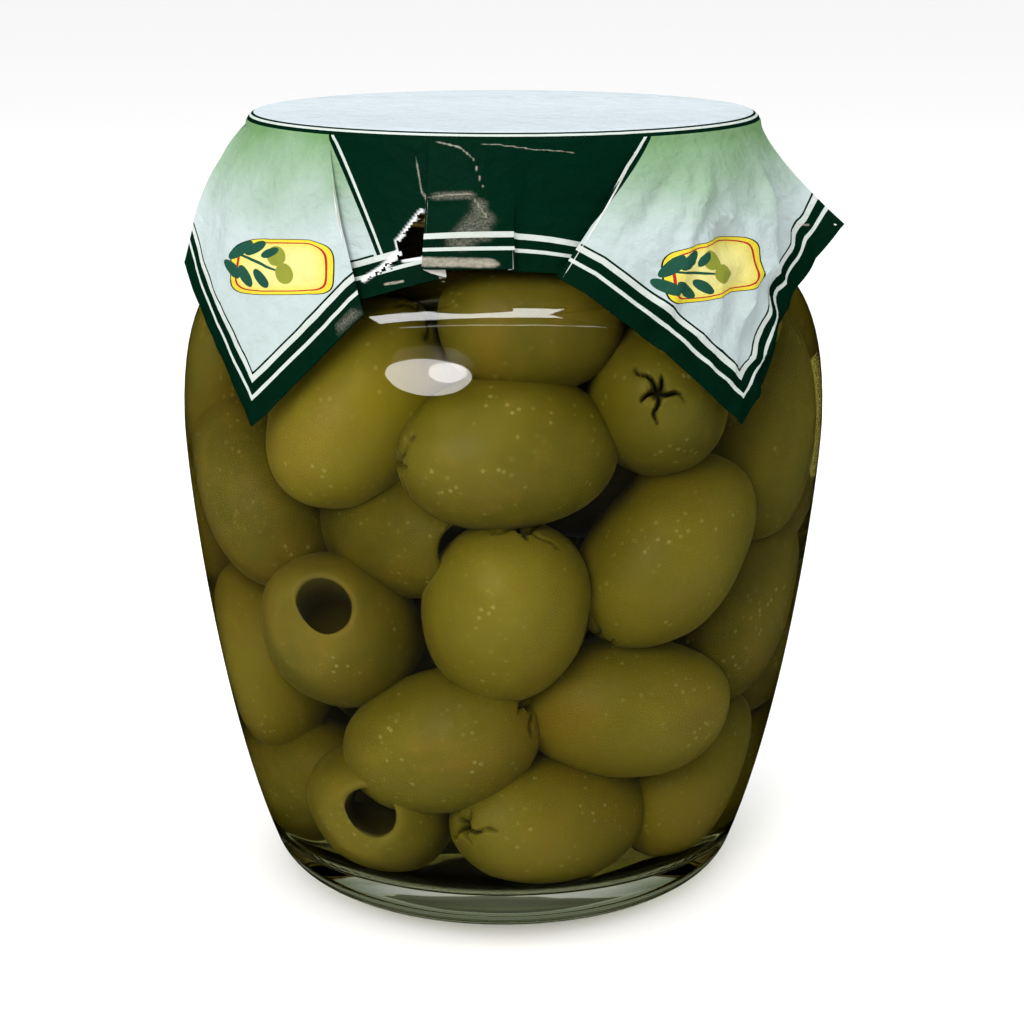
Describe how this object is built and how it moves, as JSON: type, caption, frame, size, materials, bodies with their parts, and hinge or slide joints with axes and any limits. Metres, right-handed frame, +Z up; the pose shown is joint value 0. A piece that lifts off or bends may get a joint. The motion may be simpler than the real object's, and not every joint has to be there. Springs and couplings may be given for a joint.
{
  "type": "jar of olives",
  "caption": "Squat clear glass jar of large pitted green olives in brine, with a gold twist-off lid under a draped square paper cover",
  "frame": {"origin": "centre of the ring that the jar stands on, on the jar's upright axis", "axes": "+Z up; -Y is the front, with two of the cover's corners at 45 degrees to its sides and the tear just left of it; +X is the right seen from the front"},
  "size_m": [0.1015, 0.0986, 0.1192],
  "materials": {
    "jar_glass": "clear, smooth and glossy, faintly green where thick",
    "brine": "clear yellowish brine full of olive-green fruit",
    "lid_lacquer": "gold lacquered tinplate, satin",
    "cover_paper": "coated paper, pale green and white with dark green borders, creased"
  },
  "bodies": {
    "root": {"jar": "jar_glass", "brine": "brine", "lid": "lid_lacquer", "cover": "cover_paper"}
  },
  "joints": []
}
